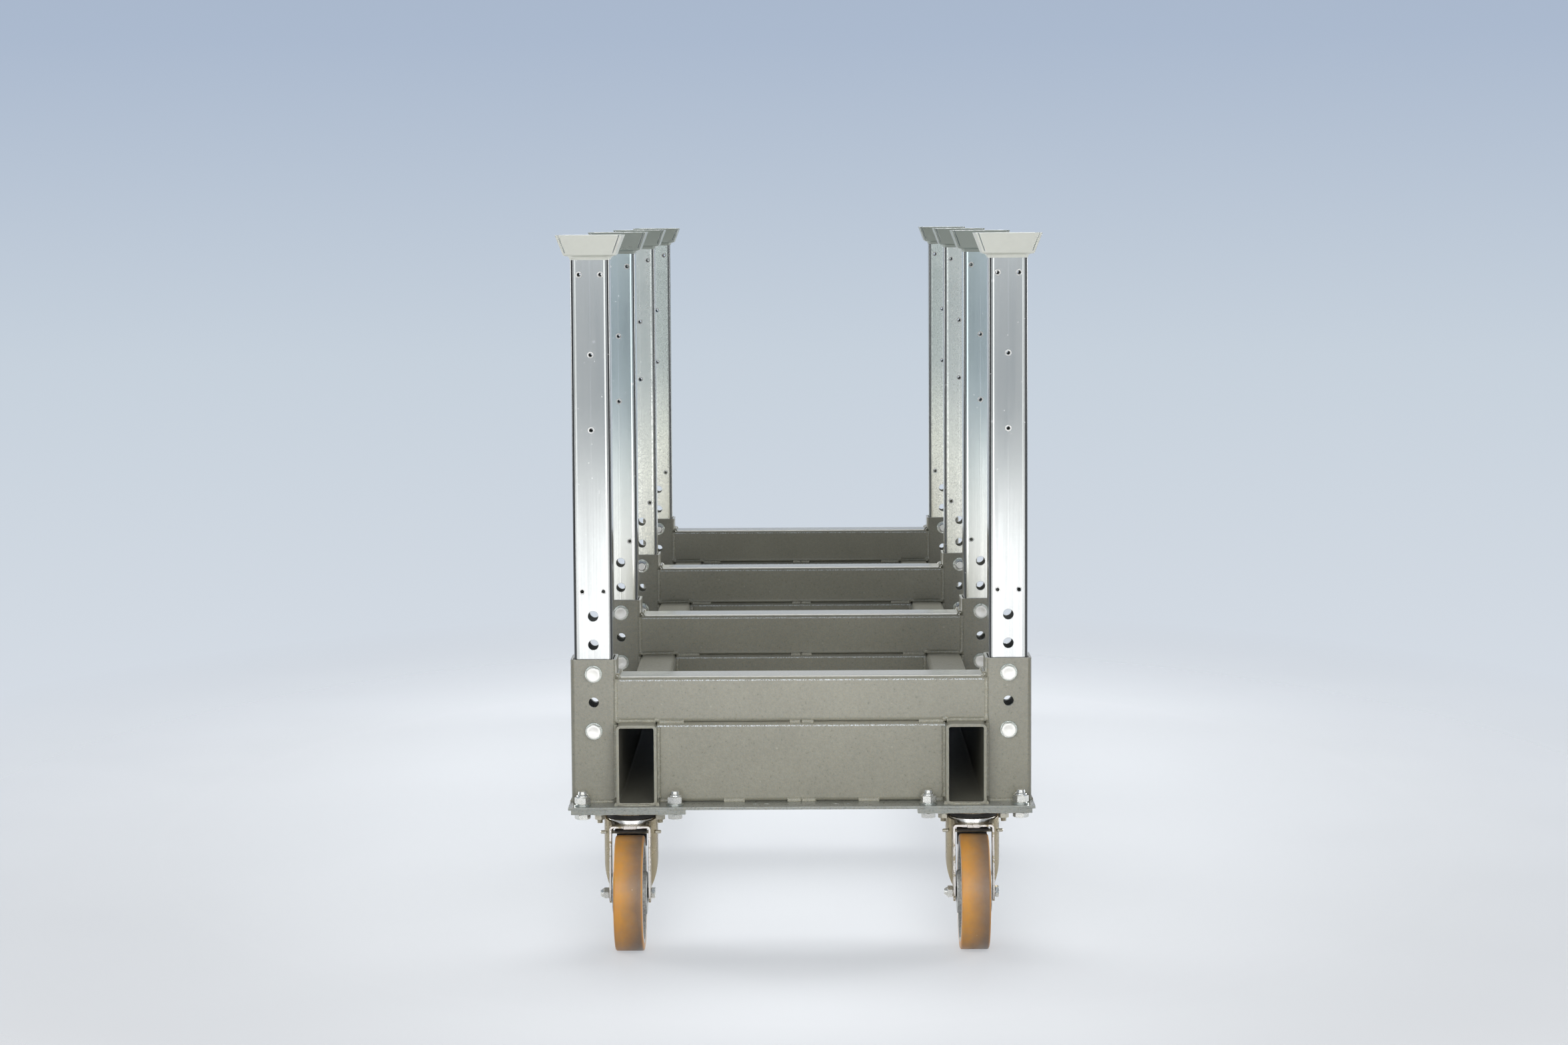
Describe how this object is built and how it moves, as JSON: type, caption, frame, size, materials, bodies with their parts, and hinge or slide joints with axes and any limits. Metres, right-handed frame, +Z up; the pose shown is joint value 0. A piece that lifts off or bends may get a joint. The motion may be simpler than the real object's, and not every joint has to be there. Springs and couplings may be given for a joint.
{
  "type": "bar and pipe trolley",
  "caption": "Long trolley for bars and pipes: a welded tube frame on casters, with rows of upright square posts bolted into sockets and ending in flared caps.",
  "frame": {"origin": "on the floor, at the centre of the trolley's whole length and width", "axes": "+Y along the trolley towards the fixed rear casters, +X to the right seen from the braked swivel casters, +Z up"},
  "size_m": [0.835, 3.053, 1.242],
  "materials": {
    "frame_paint": "warm grey hammer paint over welded steel",
    "plate_paint": "cool grey paint on flat plate",
    "post_zinc": "hot dip galvanised, faintly speckled",
    "cap_zinc": "dull galvanised sheet",
    "fastener_zinc": "bright zinc plate",
    "fork_zinc": "yellowish zinc plate on pressed steel",
    "dark_steel": "black, slightly oily",
    "wheel_iron": "grey cast iron with a machined rim",
    "tread": "amber polyurethane, satin"
  },
  "bodies": {
    "frame": {"longitudinal_left": "frame_paint", "sockets_left": "frame_paint", "post_caps_left": "cap_zinc", "post_left_1": "post_zinc", "post_left_2": "post_zinc", "post_left_3": "post_zinc", "post_left_4": "post_zinc", "swivel_plate_left": "fork_zinc", "longitudinal_right": "frame_paint", "sockets_right": "frame_paint", "post_caps_right": "cap_zinc", "post_right_1": "post_zinc", "post_right_2": "post_zinc", "post_right_3": "post_zinc", "post_right_4": "post_zinc", "swivel_plate_right": "fork_zinc", "bolster_1": "frame_paint", "bolster_2": "frame_paint", "bolster_3": "frame_paint", "bolster_4": "frame_paint", "lower_cross_tubes": "frame_paint", "base_plate_front": "frame_paint", "base_plate_rear": "frame_paint", "adapter_plates": "plate_paint", "post_bolts": "fastener_zinc", "post_washers": "fastener_zinc", "post_nuts": "fastener_zinc", "plate_bolts": "fastener_zinc", "plate_washers": "fastener_zinc", "plate_nuts": "fastener_zinc", "caster_screws": "fastener_zinc", "caster_washers": "fastener_zinc", "caster_nuts": "fastener_zinc", "kingpins": "fastener_zinc", "axle_bolts_rear": "fastener_zinc", "axle_nuts_rear": "fastener_zinc", "swivel_ball_rings": "dark_steel", "rear_fork_brackets": "fork_zinc"},
    "swivel_left": {"fork_left": "fork_zinc", "axle_bolt_front_left": "fastener_zinc", "axle_nut_front_left": "fastener_zinc", "brake_pin_left": "fastener_zinc"},
    "brake_left": {"brake_pedal_left": "dark_steel"},
    "wheel_front_left": {"wheel_core_front_left": "wheel_iron", "tread_front_left": "tread", "bearings_front_left": "dark_steel"},
    "wheel_rear_left": {"wheel_core_rear_left": "wheel_iron", "tread_rear_left": "tread", "bearings_rear_left": "dark_steel"},
    "swivel_right": {"fork_right": "fork_zinc", "axle_bolt_front_right": "fastener_zinc", "axle_nut_front_right": "fastener_zinc", "brake_pin_right": "fastener_zinc"},
    "brake_right": {"brake_pedal_right": "dark_steel"},
    "wheel_front_right": {"wheel_core_front_right": "wheel_iron", "tread_front_right": "tread", "bearings_front_right": "dark_steel"},
    "wheel_rear_right": {"wheel_core_rear_right": "wheel_iron", "tread_rear_right": "tread", "bearings_rear_right": "dark_steel"}
  },
  "joints": [
    {"name": "swivel_left", "type": "hinge", "parent": "frame", "child": "swivel_left", "pos_m": [-0.299, -1.3725, 0.23], "axis": [0, 0, 1], "continuous": true},
    {"name": "wheel_spin_front_left", "type": "hinge", "parent": "swivel_left", "child": "wheel_front_left", "pos_m": [-0.299, -1.4265, 0.1], "axis": [1, 0, 0], "continuous": true},
    {"name": "brake_press_left", "type": "hinge", "parent": "swivel_left", "child": "brake_left", "pos_m": [-0.299, -1.3875, 0.2005], "axis": [1, 0, 0], "range_deg": [-6, 0]},
    {"name": "wheel_spin_rear_left", "type": "hinge", "parent": "frame", "child": "wheel_rear_left", "pos_m": [-0.299, 1.4255, 0.1], "axis": [1, 0, 0], "continuous": true},
    {"name": "swivel_right", "type": "hinge", "parent": "frame", "child": "swivel_right", "pos_m": [0.299, -1.3725, 0.23], "axis": [0, 0, 1], "continuous": true},
    {"name": "wheel_spin_front_right", "type": "hinge", "parent": "swivel_right", "child": "wheel_front_right", "pos_m": [0.299, -1.4265, 0.1], "axis": [1, 0, 0], "continuous": true},
    {"name": "brake_press_right", "type": "hinge", "parent": "swivel_right", "child": "brake_right", "pos_m": [0.299, -1.3875, 0.2005], "axis": [1, 0, 0], "range_deg": [-6, 0]},
    {"name": "wheel_spin_rear_right", "type": "hinge", "parent": "frame", "child": "wheel_rear_right", "pos_m": [0.299, 1.4255, 0.1], "axis": [1, 0, 0], "continuous": true}
  ]
}
